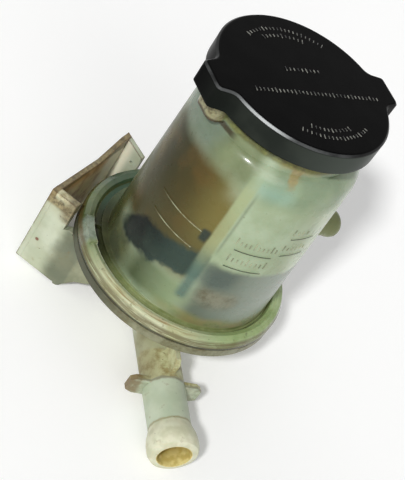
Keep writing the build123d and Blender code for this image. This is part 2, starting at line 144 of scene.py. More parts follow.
# Floor, sky and lights
FLOOR_SIZE = 12.0
FLOOR_COLOUR = (0.97, 0.97, 0.965, 1)
FLOOR_LIFT = 0.1          # added to the floor's own brightness where it is seen directly
SKY_LIGHT = 0.3
SKY_SEEN = 0.93
WHITE = (1, 1, 1, 1)
# Name, direction towards it, strength and apparent size in degrees
SUNS = (
    ("key", BACK + UP * 0.11 - RIGHT * 0.12, 2.1, 5.0),
    ("fill", (0.45, -0.75, 0.5), 0.7, 40.0),
    ("back", (-0.8, 0.6, 0.6), 0.4, 60.0),
)

# Plain pieces inside: node, material, its two colours, lowest roughness, size of the grain
PLAIN_PIECES = (
    ("cap_gasket", "gasket_rubber", (18, 18, 18), (28, 27, 26), 0.5, 0.8),
    ("strainer_frame", "frame_nylon", (120, 112, 76), (150, 142, 104), 0.4, 1.0),
    ("baffle", "baffle_nylon", (176, 176, 140), (196, 196, 160), 0.4, 1.0),
)
MESH_WAVE = 7.0           # radians of the weave's wave for each millimetre
SURFACE_IOR = 1.5
BEVEL_SAMPLES = 6


def lin(r, g, b):
    """Colour as seen on screen, 0 to 255, as a linear colour."""
    out = []
    for v in (r, g, b):
        c = v / 255
        out.append(c / 12.92 if c <= 0.04045 else ((c + 0.055) / 1.055) ** 2.4)
    return (*out, 1.0)


class Mat:
    """A node material with short calls for the maths and masks it is painted with."""

    def __init__(self, name):
        self.mat = bpy.data.materials.new(name)
        self.mat.use_nodes = True
        self.tree = self.mat.node_tree
        self.tree.nodes.clear()
        self.out = self.new("ShaderNodeOutputMaterial")
        self.bsdf = self.new("ShaderNodeBsdfPrincipled")
        self.link(self.bsdf.outputs[0], self.out.inputs[0])
        coord = self.new("ShaderNodeTexCoord")
        scale = self.new("ShaderNodeVectorMath")
        scale.operation = "SCALE"
        scale.inputs[3].default_value = MM
        self.link(coord.outputs["Object"], scale.inputs[0])
        self.place = scale.outputs[0]
        split = self.new("ShaderNodeSeparateXYZ")
        self.link(self.place, split.inputs[0])
        self.x, self.y, self.z = split.outputs

    def new(self, kind):
        return self.tree.nodes.new(kind)

    def link(self, a, b):
        self.tree.links.new(a, b)

    def put(self, value, socket):
        """A number, a colour or another node's output into a socket."""
        if isinstance(value, bpy.types.NodeSocket):
            self.link(value, socket)
        else:
            socket.default_value = value

    def math(self, op, a, b=0.0):
        """One step of arithmetic on numbers or outputs."""
        n = self.new("ShaderNodeMath")
        n.operation = op
        self.put(a, n.inputs[0])
        self.put(b, n.inputs[1])
        return n.outputs[0]

    def plus(self, a, b):
        return self.math("ADD", a, b)

    def minus(self, a, b):
        return self.math("SUBTRACT", a, b)

    def times(self, a, b):
        return self.math("MULTIPLY", a, b)

    def either(self, a, b):
        """The larger of two masks."""
        return self.math("MAXIMUM", a, b)

    def both(self, *masks):
        """1 only where every mask is 1."""
        out = masks[0]
        for m in masks[1:]:
            out = self.times(out, m)
        return out

    def length(self, a, b):
        """Longest side of a right-angled triangle whose other sides are a and b."""
        return self.math("SQRT", self.plus(self.times(a, a), self.times(b, b)))

    def noise(self, size, detail=3.0, rough=0.5, at=None):
        """Noise from 0 to 1 whose grains are about size millimetres across."""
        n = self.new("ShaderNodeTexNoise")
        n.inputs["Scale"].default_value = 1.0 / size
        n.inputs["Detail"].default_value = detail
        n.inputs["Roughness"].default_value = rough
        self.link(self.place if at is None else at, n.inputs["Vector"])
        return n.outputs["Fac"]

    def streaks(self, long, wide):
        """Noise drawn out round the axis: long in degrees, wide in millimetres across."""
        drawn = self.new("ShaderNodeCombineXYZ")
        parts = ((self.azimuth(), long), (self.radius(), wide), (self.z, wide))
        for (value, size), socket in zip(parts, drawn.inputs):
            self.link(self.math("DIVIDE", value, size), socket)
        return self.noise(1.0, detail=5.0, rough=0.6, at=drawn.outputs[0])

    def step(self, value, low, high):
        """0 at low and 1 at high, smooth between, whichever of the two is larger."""
        n = self.new("ShaderNodeMapRange")
        n.interpolation_type = "SMOOTHSTEP"
        self.put(value, n.inputs[0])
        rising = low <= high
        n.inputs[1].default_value = low if rising else high
        n.inputs[2].default_value = high if rising else low
        n.inputs[3].default_value = 0.0 if rising else 1.0
        n.inputs[4].default_value = 1.0 if rising else 0.0
        return n.outputs[0]

    def band(self, value, low, high, soft):
        """1 between low and high, with soft edges."""
        above = self.step(value, low - soft, low + soft)
        below = self.step(value, high + soft, high - soft)
        return self.both(above, below)

    def box(self, az, z, azimuths, heights, soft_az, soft_z):
        """Soft patch on the body between two azimuths and two heights."""
        return self.both(self.band(az, *azimuths, soft_az), self.band(z, *heights, soft_z))

    def curve(self, value, points):
        """Height that follows a line drawn through the given (azimuth, height) points."""
        xs = [p[0] for p in points]
        ys = [p[1] for p in points]
        wide = max(xs) - min(xs)
        tall = max(ys) - min(ys)
        near = self.new("ShaderNodeMapRange")
        self.put(value, near.inputs[0])
        near.inputs[1].default_value = min(xs)
        near.inputs[2].default_value = max(xs)
        n = self.new("ShaderNodeFloatCurve")
        line = n.mapping.curves[0]
        spots = [((x - min(xs)) / wide, (y - min(ys)) / tall) for x, y in points]
        line.points[0].location = spots[0]
        line.points[1].location = spots[-1]
        for spot in spots[1:-1]:
            line.points.new(*spot)
        n.mapping.update()
        self.link(near.outputs[0], n.inputs["Value"])
        far = self.new("ShaderNodeMapRange")
        self.link(n.outputs[0], far.inputs[0])
        far.inputs[3].default_value = min(ys)
        far.inputs[4].default_value = max(ys)
        return far.outputs[0]

    def mix(self, fac, a, b):
        """a where fac is 0 and b where it is 1."""
        n = self.new("ShaderNodeMix")
        n.data_type = "RGBA"
        self.put(fac, n.inputs[0])
        self.put(a, n.inputs[6])
        self.put(b, n.inputs[7])
        return n.outputs[2]

    def over(self, base, mask, colour, strength=1.0):
        """base with colour laid over it where mask is 1."""
        if strength < 1.0:
            mask = self.times(mask, strength)
        return self.mix(mask, base, colour)

    def mottle(self, size, a, b, **kw):
        """Soft clouds of two colours."""
        return self.mix(self.step(self.noise(size, **kw), 0.35, 0.65), lin(*a), lin(*b))

    def grime(self, size, dark, light):
        """Fine grained mixture, with dark grains in loose clouds."""
        grains = self.step(self.noise(size, detail=8.0, rough=0.68), 0.32, 0.62)
        return self.mix(grains, lin(*dark), lin(*light))

    def uneven(self, low, span, size, detail=3.0):
        """Number that wanders from low upwards over the surface, for the roughness."""
        return self.plus(low, self.times(self.noise(size, detail=detail), span))

    def bevelled(self, radius):
        """Normal of the shape as if its edges were rounded."""
        b = self.new("ShaderNodeBevel")
        b.samples = BEVEL_SAMPLES
        b.inputs["Radius"].default_value = radius / MM
        return b.outputs[0]

    def edges(self, width):
        """1 on the edges of the shape and 0 on its open faces."""
        geo = self.new("ShaderNodeNewGeometry")
        dot = self.new("ShaderNodeVectorMath")
        dot.operation = "DOT_PRODUCT"
        self.link(self.bevelled(width), dot.inputs[0])
        self.link(geo.outputs["Normal"], dot.inputs[1])
        return self.step(dot.outputs["Value"], 0.995, 0.86)

    def along(self, az, shift=0.0):
        """Distance in the direction of an azimuth, from an upright axis shifted along X."""
        a = math.radians(az)
        ahead = self.times(self.minus(self.x, shift), math.cos(a))
        return self.plus(ahead, self.times(self.y, math.sin(a)))

    def degrees(self, angle):
        return self.times(angle, 180 / math.pi)

    def azimuth(self, shift=0.0):
        """Degrees round an upright axis, from -250 to 110, so that it jumps on the far side."""
        angle = self.math("ARCTAN2", self.along(90 - FAR_TURN, shift), self.along(-FAR_TURN, shift))
        return self.minus(self.degrees(angle), FAR_TURN)

    def radius(self):
        """Distance from the axis of the flange."""
        return self.length(self.x, self.y)

    def away(self, az):
        """Degrees between the spot's own azimuth and the one given, either way round."""
        return self.degrees(self.math("ARCCOSINE", self.math("DIVIDE", self.along(az), self.radius())))

    def sway(self, value, amount, size, **kw):
        """value pushed to and fro by noise, so that an edge painted from it wanders."""
        push = self.times(self.minus(self.noise(size, **kw), 0.5), 2 * amount)
        return self.plus(value, push)

    def normals(self, bevel, *bumps):
        """Rounded edges, then bumps given as (height, strength, distance in millimetres)."""
        normal = self.bevelled(bevel)
        for height, strength, distance in bumps:
            n = self.new("ShaderNodeBump")
            n.inputs["Strength"].default_value = strength
            n.inputs["Distance"].default_value = distance / MM
            self.link(height, n.inputs["Height"])
            self.link(normal, n.inputs["Normal"])
            normal = n.outputs[0]
        self.link(normal, self.bsdf.inputs["Normal"])

    def finish(self, colour, rough, **sockets):
        """The finished material, with any more of the shader's sockets given by name."""
        self.put(colour, self.bsdf.inputs["Base Color"])
        self.put(rough, self.bsdf.inputs["Roughness"])
        self.put(SURFACE_IOR, self.bsdf.inputs["IOR"])
        for name, value in sockets.items():
            self.put(value, self.bsdf.inputs[name.replace("_", " ")])
        return self.mat


def wall_right(m, az, azs, zs):
    """Pale nylon right of the strip, painted lighter near the right edge as light glowing through it, with a
    grey film and dregs low on it.
    """
    base = m.mottle(14.0, (150, 164, 132), (166, 180, 152), detail=4.0)
    base = m.over(base, m.step(az, -44.0, -14.0), m.mottle(10.0, (152, 162, 134), (168, 178, 150)), 0.85)
    # painted light: lighter near the right edge, where light glows through the nylon
    base = m.over(base, m.step(az, -26.0, -8.0), m.mottle(10.0, (192, 204, 178), (206, 216, 192)), 0.9)
    shoulder = m.both(m.step(zs, 100.0, 108.0), m.step(az, -74.0, -64.0))
    base = m.over(base, shoulder, m.mottle(8.0, (120, 138, 108), (136, 152, 120)), 0.8)
    bluish = m.box(azs, zs, (-76.0, -50.0), (105.0, 112.0), 6.0, 3.5)
    base = m.over(base, bluish, lin(140, 174, 158), 0.5)
    low = m.both(m.step(azs, -79.0, -61.0), m.step(azs, 44.0, -8.0), m.band(zs, 36.0, OIL_Z, 1.6))
    film = m.mix(m.step(azs, -64.0, -16.0), lin(78, 86, 78), lin(146, 154, 144))
    base = m.over(base, low, film, 0.85)
    dregs = m.box(azs, zs, (-66.0, -40.0), (48.0, 56.0), 5.0, 3.0)
    return m.over(base, dregs, m.grime(4.0, (98, 88, 64), (138, 134, 112)), 0.6)


def wall_stain(m, az, azs, zs, base):
    """Brown stain left of the strip, darkest towards the far left."""
    warm = m.mix(m.step(azs, -80.0, -110.0), lin(110, 100, 52), lin(66, 57, 23))
    stain = m.mix(m.step(azs, -104.0, -132.0), warm, lin(46, 42, 10))
    stain = m.over(stain, m.step(m.noise(17.0), 0.46, 0.66), lin(104, 76, 30), 0.35)
    stain = m.over(stain, m.step(zs, 86.0, 70.0), lin(70, 66, 40), 0.5)
    right = m.mix(m.step(zs, 92.0, 107.0), m.step(az, -74.0, -79.5), m.step(azs, -76.0, -92.0))
    height = m.both(m.step(zs, 48.0, 60.0), m.step(zs, 112.0, 100.0))
    return m.over(base, m.both(m.step(azs, -162.0, -146.0), right, height), stain, 0.98)


def wall_left(m, az, azs, zs, base):
    """Green and grey shoulder, then olive and orange on the far left."""
    top = m.both(m.step(zs, 100.0, 109.0), m.step(az, -74.0, -84.0))
    green = m.mottle(9.0, (96, 106, 68), (112, 122, 84))
    shoulder = m.mix(m.step(azs, -100.0, -118.0), green, lin(96, 110, 94))
    base = m.over(base, top, shoulder, 0.85)
    left = m.both(m.step(azs, -138.0, -150.0), m.step(zs, 108.0, 98.0))
    base = m.over(base, left, m.mottle(9.0, (48, 54, 12), (66, 66, 18), detail=4.0), 0.9)
    orange = m.box(m.sway(azs, 5.0, 16.0), zs, (-155.0, -145.0), (80.0, 92.0), 9.0, 12.0)
    return m.over(base, orange, lin(126, 92, 28), 0.4)


def wall_foot(m, az, z, azs, zs, base):
    """Foot of the wall: dark on the left, paler below the sludge, ochre at the gutter."""
    foot = m.both(m.step(azs, -102.0, -124.0), m.step(zs, 58.0, 46.0))
    base = m.over(base, foot, m.mottle(6.0, (46, 48, 22), (66, 68, 34)), 0.9)
    pale = m.box(azs, zs, (-112.0, -74.0), (38.0, 53.0), 8.0, 3.0)
    base = m.over(base, pale, m.mix(m.step(azs, -110.0, -76.0), lin(54, 64, 36), lin(124, 140, 104)), 0.9)
    ring = m.both(m.step(zs, 43.0, 39.0), m.step(z, 35.0, 36.5), m.step(az, -100.0, -60.0))
    return m.over(base, ring, m.mottle(5.0, (120, 126, 66), (146, 134, 76)), 0.6)


def body_wall(m, az, z):
    """Nylon wall: pale on the right, stained on the left and evenly aged on the far side."""
    zs = m.sway(z, 2.0, 10.0, detail=4.0)
    azs = m.sway(az, 3.5, 11.0, detail=4.0)
    base = wall_right(m, az, azs, zs)
    base = wall_stain(m, az, azs, zs, base)
    base = wall_left(m, az, azs, zs, base)
    base = wall_foot(m, az, z, azs, zs, base)
    far = m.step(m.sway(m.away(FAR_SIDE), 5.0, 16.0, detail=4.0), 88.0, 48.0)
    return m.over(base, far, m.mottle(20.0, (130, 136, 96), (152, 156, 118), detail=5.0))


def body_sludge(m, az, z, base):
    """Dark sludge behind the wall, with a fainter tail right of the strip."""
    ragged = m.sway(m.sway(z, 2.2, 7.0, detail=2.0), 1.6, 2.4, detail=4.0)
    above = m.minus(ragged, m.curve(az, SLUDGE_TOP))
    below = m.minus(ragged, m.curve(az, SLUDGE_BOTTOM))
    ends = m.both(m.step(az, -142.0, -130.0), m.step(az, -70.0, -73.0))
    sludge = m.both(m.step(above, 1.8, -1.8), m.step(below, -1.6, 1.6), ends)
    dark = m.mix(m.step(az, -120.0, -84.0), lin(6, 16, 14), lin(50, 66, 60))
    dark = m.over(dark, m.step(m.noise(9.0), 0.45, 0.75), lin(50, 66, 56), 0.4)
    base = m.over(base, sludge, dark, 0.95)
    width = m.band(m.sway(az, 3.0, 8.0), -72.0, -50.0, 5.0)
    tail = m.both(width, m.band(m.sway(z, 2.0, 6.0), 58.0, 67.0, 2.5))
    return m.over(base, tail, lin(74, 86, 82), 0.6)


def body_strip(m, az, z, base):
    """Edge of the baffle behind the wall, its shadow, and the dark stub left of it."""
    left, right = STRIP
    slope = m.plus(az, m.times(m.step(z, 78.0, 50.0), -1.6))
    crisp = m.band(m.sway(slope, 0.35, 6.0), left, right, 1.1)
    blurred = m.band(slope, left + 0.4, right - 0.2, 2.4)
    edges = m.mix(m.step(z, 74.0, 60.0), crisp, blurred)
    strip = m.both(edges, m.step(z, 45.0, 48.5), m.step(z, 116.0, 100.0))
    pale = m.mix(m.step(z, 84.0, 98.0), lin(148, 152, 110), lin(156, 166, 126))
    tint = m.mix(m.step(m.sway(z, 2.0, 6.0), 60.0, 80.0), lin(88, 110, 98), pale)
    base = m.over(base, strip, tint, 0.92)
    shade = m.both(m.band(az, right + 0.8, right + 2.4, 1.0), m.step(z, 70.0, 78.0), m.step(z, 108.0, 100.0))
    base = m.over(base, shade, lin(98, 106, 84), 0.5)
    cut = m.step(m.plus(z, m.times(az, -0.25)), 102.5, 101.0)
    stub = m.both(m.band(m.sway(az, 0.6, 3.0), -85.0, -79.6, 1.2), m.band(z, 74.8, 80.6, 1.2), cut)
    return m.over(base, stub, lin(44, 56, 52), 0.9)


def body_lines(m, az, z, base):
    """Moulded level lines, with a painted highlight on them on the left and darker on the right."""
    r = m.length(m.minus(m.x, BODY_X), m.y)
    wall = m.minus(BODY_FOOT_R, m.times(m.minus(z, BODY_FOOT_Z), BODY_DRAFT))
    proud = m.both(m.step(m.minus(r, wall), 0.2, 0.34), m.band(z, 66.0, 92.0, 1.0))
    # painted highlight on the raised lines on the left, where they catch the light; darker on the right
    painted_glint = m.both(proud, m.step(az, -80.0, -84.0), m.step(az, -124.0, -104.0))
    base = m.over(base, m.both(proud, m.step(az, -70.0, -66.0)), lin(40, 44, 36), 0.8)
    return m.over(base, painted_glint, m.mottle(3.0, (128, 124, 92), (186, 190, 160)), 0.7)


def body_neck(m, az, z, base):
    """Stains that ran down from under the cap, a dark band under the cap that is stain and painted shade, and
    the dirty tongue below the ear.
    """
    azs = m.sway(az, 5.0, 5.0, detail=5.0)
    drip = m.step(m.minus(m.sway(z, 3.4, 4.0, detail=6.0), m.curve(azs, DRIP)), -2.4, 2.6)
    runs = m.both(drip, m.step(azs, -80.0, -68.0), m.step(azs, -22.0, -34.0), m.step(z, 124.0, 120.0))
    base = m.over(base, runs, m.mottle(4.0, (138, 102, 42), (162, 138, 80), detail=5.0), 0.6)
    # dark olive band round the neck under the cap: stain, and painted shade under the cap's skirt
    stain_and_shade_under_cap = m.both(m.step(m.sway(z, 0.8, 3.0), 117.6, 119.4), m.step(z, 125.0, 122.6))
    base = m.over(base, stain_and_shade_under_cap, m.mottle(3.0, (82, 82, 36), (118, 120, 62)), 0.8)
    tongue = m.both(m.step(m.radius(), 31.6, 32.6), m.step(z, 116.8, 117.4))
    base = m.over(base, tongue, m.grime(3.0, (76, 66, 38), (146, 142, 108)), 0.95)
    line = m.both(m.band(m.azimuth(), -146.0, -100.0, 4.0), m.band(m.sway(z, 0.5, 2.0), 115.6, 117.9, 0.5))
    return m.over(base, line, lin(50, 38, 16), 0.85)


def rim_front(m, az):
    """Stretch of the rim in front, below the strip."""
    return m.both(m.step(az, -128.0, -98.0), m.step(az, -44.0, -64.0))


def rim_colour(m, az):
    """Rounded rim: pale in front, green on the right, dark teal on the far left."""
    rim = m.mottle(16.0, (146, 160, 118), (164, 176, 138), detail=4.0)
    rim = m.over(rim, m.band(az, -142.0, -116.0, 9.0), m.mottle(9.0, (118, 130, 92), (136, 148, 108)), 0.8)
    rim = m.over(rim, rim_front(m, az), m.mottle(12.0, (186, 192, 150), (204, 208, 174)), 0.85)
    rim = m.over(rim, m.step(az, -52.0, -30.0), m.mottle(9.0, (134, 156, 98), (160, 178, 124)), 0.8)
    rim = m.over(rim, m.step(m.away(-178.0), 56.0, 28.0), m.mottle(9.0, (66, 80, 40), (86, 100, 54)), 0.92)
    rim = m.over(rim, m.step(m.away(150.0), 46.0, 16.0), m.mottle(7.0, (44, 66, 50), (60, 86, 66)), 0.8)
    pad = m.band(m.sway(az, 1.0, 3.0), -147.0, -131.0, 1.5)
    return m.over(rim, pad, m.grime(4.0, (84, 96, 86), (146, 158, 146)), 0.65)


def rim_wear(m, az, r, rim):
    """Streaks of dirt round the rim, and a painted highlight along its inner edge."""
    streak = m.streaks(15.0, 0.6)
    middle = m.band(m.sway(r, 1.0, 12.0), RIM_STREAK_R - 0.9, RIM_STREAK_R + 0.9, 0.8)
    middle = m.both(middle, rim_front(m, az), m.step(streak, 0.36, 0.6))
    rim = m.over(rim, middle, lin(138, 106, 58), 0.75)
    # painted highlight: a bright line along the rim's inner edge, on the near side
    inner_edge_glint = m.band(m.sway(r, 0.25, 8.0), RIM_IN_R + 1.1, RIM_IN_R + 1.5, 0.25)
    reach = m.both(m.step(az, -156.0, -140.0), m.step(az, -66.0, -84.0))
    inner_edge_glint = m.both(inner_edge_glint, m.step(m.noise(1.6), 0.36, 0.52), reach)
    rim = m.over(rim, inner_edge_glint, lin(226, 230, 204), 0.8)
    rim = m.over(rim, m.step(streak, 0.52, 0.74), lin(116, 106, 64), 0.3)
    rim = m.over(rim, m.step(m.noise(1.8, detail=4.0), 0.62, 0.7), lin(84, 72, 40), 0.5)
    outer = m.both(m.step(r, FLANGE_R - 1.1, FLANGE_R - 0.2), m.step(streak, 0.3, 0.5))
    rim = m.over(rim, outer, lin(88, 72, 38), 0.75)
    inner = m.both(m.step(r, RIM_IN_R + 0.9, RIM_IN_R), m.step(streak, 0.36, 0.56))
    return m.over(rim, inner, lin(94, 88, 44), 0.7)


def body_flange(m, base):
    """The rim, the gutter inside it and the weld below."""
    r = m.radius()
    az = m.azimuth()
    rim = rim_wear(m, az, r, rim_colour(m, az))
    on_rim = m.both(m.step(r, RIM_IN_R - 0.4, RIM_IN_R), m.step(m.z, 41.0, 40.6))
    base = m.over(base, on_rim, rim)
    gutter = m.both(m.step(r, 33.5, 34.5), m.step(r, RIM_IN_R + 0.2, RIM_IN_R - 0.3), m.step(m.z, 37.0, 36.6))
    clean = m.mottle(6.0, (112, 122, 72), (136, 144, 96))
    dirt = m.mix(m.step(m.away(-178.0), 82.0, 48.0), clean, lin(40, 44, 22))
    dirt = m.over(dirt, m.step(m.away(168.0), 40.0, 14.0), lin(54, 82, 64), 0.85)
    base = m.over(base, gutter, dirt, 0.92)
    weld = m.both(m.step(m.z, 33.3, 32.6), m.step(r, 43.6, 44.2))
    return m.over(base, weld, lin(40, 40, 26), 0.85)


def body_material():
    """Translucent nylon of the upper shell, glossy on its shoulder and on the rim."""
    m = Mat("aged_body")
    az = m.azimuth(BODY_X)
    base = body_wall(m, az, m.z)
    base = body_sludge(m, az, m.z, base)
    base = body_strip(m, az, m.z, base)
    base = body_lines(m, az, m.z, base)
    base = body_neck(m, az, m.z, base)
    base = body_flange(m, base)
    base = m.over(base, m.step(m.noise(1.6), 0.68, 0.76), lin(84, 76, 44), 0.3)
    shoulder = m.step(m.z, 102.0, 109.0)
    rim = m.both(m.step(m.radius(), RIM_IN_R, RIM_IN_R + 0.6), m.step(m.z, 43.0, 42.0))
    gloss = m.both(m.either(shoulder, rim), m.step(m.noise(7.0), 0.2, 0.6))
    m.normals(0.45, (m.noise(12.0, detail=2.0), 0.3, 0.6), (m.noise(0.8), 0.06, 0.15))
    return m.finish(
        base,
        m.uneven(0.17, 0.24, 5.0, detail=5.0),
        Specular_IOR_Level=0.13,
        Subsurface_Weight=0.05,
        Subsurface_Scale=0.002,
        Coat_Weight=m.times(gloss, 0.55),
        Coat_Roughness=0.13,
    )


def nozzle_tube(m, along, off):
    """Outlet nozzle: dirty inboard of the wings, clean outside them, with a cream bead."""
    tube = m.mottle(8.0, (178, 190, 164), (192, 202, 178), detail=4.0)
    dirty = m.grime(5.0, (142, 130, 84), (194, 196, 154))
    inboard = m.step(m.sway(along, 1.0, 3.0, detail=4.0), WING_FACE - 0.6, WING_FACE - 1.4)
    tube = m.over(tube, inboard, dirty)
    flank = m.both(m.step(off, -2.0, -8.0), m.step(along, WING_FACE - 0.4, WING_FACE - 1.9))
    tube = m.over(tube, flank, lin(110, 96, 58), 0.5)
    fold = m.band(m.sway(along, 0.5, 2.0), WING_FACE - 1.2, WING_FACE, 0.5)
    tube = m.over(tube, fold, lin(96, 78, 44), 0.6)
    tips = m.both(m.step(off, -9.0, -12.0), m.step(m.noise(3.0, detail=4.0), 0.3, 0.52))
    tube = m.over(tube, tips, lin(116, 92, 56), 0.75)
    bead = m.step(m.sway(along, 0.6, 2.0), BEAD_AT - 0.4, BEAD_AT + 0.6)
    tube = m.over(tube, bead, m.mottle(5.0, (194, 194, 164), (212, 212, 186)))
    ring = m.band(m.sway(along, 0.7, 2.4, detail=5.0), BEAD_AT - 0.8, BEAD_AT + 0.1, 0.4)
    return m.over(tube, ring, lin(140, 124, 76), 0.65)


def nozzle_paint(m, base):
    """The outlet nozzle and its oily bore."""
    along = m.along(NOZZLE_AZ)
    off = m.minus(m.along(NOZZLE_AZ + 90), NOZZLE_SIDE)
    beside = m.step(m.math("ABSOLUTE", off), 18.0, 16.0)
    near = m.both(m.step(along, 24.0, 28.0), beside, m.step(m.z, 27.4, 26.6))
    base = m.over(base, near, nozzle_tube(m, along, off))
    from_axis = m.length(off, m.minus(m.z, NOZZLE_Z))
    bore = m.both(m.step(from_axis, 7.1, 6.8), m.step(along, 30.0, 34.0))
    mouth = m.mottle(2.5, (196, 178, 104), (226, 212, 146))
    return m.over(base, bore, m.mix(m.step(along, 72.0, 82.0), lin(150, 128, 58), mouth))


def bracket_film_and_painted_light(m, depth, base):
    """Brown film on the inner faces of the bracket, painted paler than its own colour as painted light on
    faces left in shade, and cream beside the far web as painted light.
    """
    between = m.band(m.y, NEAR_WEB_Y, FAR_WEB_Y, 0.4)
    inner = m.both(m.step(depth, 1.8, 2.2), m.step(depth, 8.0, 4.0), between)
    # film painted paler than its own brown: painted light on inner faces that stay in shade
    film = m.mix(m.step(m.sway(m.z, 3.0, 6.0, detail=4.0), 29.0, 38.0), lin(226, 206, 150), lin(206, 160, 92))
    film = m.over(film, m.step(m.noise(7.0, detail=6.0, rough=0.6), 0.44, 0.66), lin(164, 112, 52), 0.75)
    # cream beside the far web: painted light
    film = m.over(film, m.step(m.sway(m.y, 2.0, 5.0), 9.0, 17.0), lin(246, 244, 224), 0.85)
    return m.over(base, inner, film, 0.95)


def bracket_tops(m, depth, fine, near_web, base):
    """Dirt along the upper edges of the plate and the two webs."""
    drift = m.plus(m.sway(m.z, 3.0, 7.0), m.times(m.x, 0.12))
    dusty = m.both(near_web, m.step(drift, 20.0, 35.0))
    base = m.over(base, dusty, m.mottle(6.0, (150, 144, 108), (180, 176, 142)), 0.6)
    line = m.both(near_web, m.band(m.sway(fine, 1.5, 5.0), 34.4, 38.4, 1.0))
    base = m.over(base, line, m.grime(2.0, (60, 42, 18), (154, 140, 100)), 0.9)
    ledge = m.both(near_web, m.step(m.z, 38.9, 39.3))
    base = m.over(base, ledge, m.grime(3.0, (150, 138, 98), (204, 200, 166)), 0.9)
    far_web = m.both(m.step(m.y, FAR_WEB_Y - 0.4, FAR_WEB_Y + 0.2), m.step(depth, 8.0, 12.0))
    base = m.over(base, far_web, m.grime(4.0, (142, 130, 92), (184, 184, 154)), 0.6)
    edge = m.both(m.step(depth, 2.6, 2.2), m.step(fine, 36.5, 38.5))
    return m.over(base, edge, m.grime(3.0, (70, 54, 26), (136, 118, 78)), 0.9)


def bracket_paint(m, base):
    """The bracket's plate, webs and gussets."""
    depth = m.minus(m.x, PLATE_X)
    near_web = m.step(m.y, NEAR_WEB_Y + 1.0, NEAR_WEB_Y + 0.2)
    fine = m.sway(m.z, 1.2, 2.0, detail=6.0, rough=0.65)
    base = bracket_film_and_painted_light(m, depth, base)
    base = bracket_tops(m, depth, fine, near_web, base)
    # dirt beside the flange, and the darker slope below it
    beside = m.step(m.sway(m.x, 1.6, 3.0, detail=6.0), -46.5, -43.0)
    notch = m.both(near_web, beside, m.step(fine, 29.0, 32.0))
    base = m.over(base, notch, m.grime(2.5, (62, 50, 26), (140, 130, 98)), 0.85)
    reach = m.both(m.step(m.sway(m.x, 2.0, 6.0), -43.5, -37.0), m.step(m.x, -14.0, -18.0))
    low = m.both(reach, m.step(m.z, 30.0, 28.0))
    base = m.over(base, low, m.mottle(9.0, (84, 90, 70), (104, 106, 82)), 0.85)
    spot_x, spot_z = WEB_SPOT
    spot = m.step(m.length(m.minus(m.x, spot_x), m.minus(m.z, spot_z)), 1.1, 0.5)
    base = m.over(base, m.both(near_web, spot), lin(108, 42, 26), 0.85)
    # edges rubbed and dirty
    bracket = m.both(m.step(m.x, -33.0, -36.0), m.step(m.radius(), 45.0, 45.8))
    outer = m.either(m.step(depth, 1.9, 1.5), m.step(m.z, 36.0, 37.5))
    worn = m.both(bracket, outer, m.edges(1.3), m.step(m.noise(4.0, detail=5.0), 0.3, 0.5))
    return m.over(base, worn, lin(84, 64, 32), 0.85)


def base_material():
    """Off-white nylon of the lower shell."""
    m = Mat("aged_base")
    base = m.mottle(14.0, (172, 178, 152), (192, 198, 176), detail=4.0)
    base = bracket_paint(m, base)
    base = nozzle_paint(m, base)
    r = m.radius()
    bowl = m.both(m.step(r, 40.0, 38.8), m.step(m.x, -34.0, -28.0), m.step(m.z, 27.0, 26.0))
    base = m.over(base, bowl, m.mottle(9.0, (132, 134, 106), (164, 166, 138), detail=4.0), 0.6)
    flange = m.both(m.step(r, 38.6, 39.6), m.step(m.z, 27.4, 28.0), m.step(r, FLANGE_R + 0.5, FLANGE_R + 0.2))
    dirty = m.grime(6.0, (96, 92, 62), (134, 134, 108))
    edge = m.mix(m.step(m.away(180.0), 100.0, 70.0), dirty, lin(66, 68, 50))
    base = m.over(base, flange, edge, 0.95)
    base = m.over(base, m.step(m.noise(4.0, detail=7.0, rough=0.65), 0.6, 0.72), lin(128, 108, 68), 0.4)
    base = m.over(base, m.step(m.noise(1.4, detail=2.0), 0.72, 0.77), lin(70, 52, 30), 0.6)
    m.normals(0.45, (m.noise(9.0), 0.3, 0.6), (m.noise(0.7), 0.1, 0.15))
    return m.finish(
        base,
        m.uneven(0.34, 0.22, 4.0, detail=4.0),
        Specular_IOR_Level=0.35,
        Subsurface_Weight=0.06,
        Subsurface_Scale=0.002,
    )


def cap_material():
    """Black nylon, dusty on the near side of its skirt with a painted reflection that grows lighter towards
    the right, and a painted highlight along its near top edge.
    """
    m = Mat("black_cap")
    az = m.azimuth()
    base = m.mottle(9.0, (2, 2, 2), (5, 5, 5), detail=5.0)
    base = m.over(base, m.step(m.noise(1.4, detail=4.0), 0.64, 0.76), lin(40, 39, 34), 0.1)
    # near side of the skirt: grey dust, painted lighter towards the right as a painted reflection
    near_side = m.both(m.step(az, -134.0, -92.0), m.step(az, 40.0, 0.0))
    skirt = m.both(m.step(m.z, CAP_TOP_Z - 0.7, CAP_TOP_Z - 1.6), near_side)
    dusty = m.mix(m.step(az, -80.0, -24.0), m.mottle(12.0, (36, 40, 36), (44, 48, 43)), lin(72, 78, 72))
    base = m.over(base, skirt, dusty, 0.9)
    # painted highlight: a bright line along the near top edge, where the light glints
    top_edge = m.band(m.z, CAP_TOP_Z - 1.0, CAP_TOP_Z - 0.22, 0.15)
    near = m.either(m.band(az, -104.0, -72.0, 13.0), m.times(m.band(az, -136.0, -30.0, 20.0), 0.16))
    painted_glint = m.both(top_edge, near, m.step(m.noise(9.0), 0.25, 0.55))
    base = m.over(base, painted_glint, lin(196, 200, 200), 0.75)
    m.normals(1.1, (m.noise(0.6, detail=2.0), 0.04, 0.1))
    return m.finish(
        base,
        m.uneven(0.24, 0.12, 3.0, detail=5.0),
        Specular_IOR_Level=0.02,
        Coat_Weight=m.times(top_edge, m.either(near, 0.25)),
        Coat_Roughness=0.3,
    )


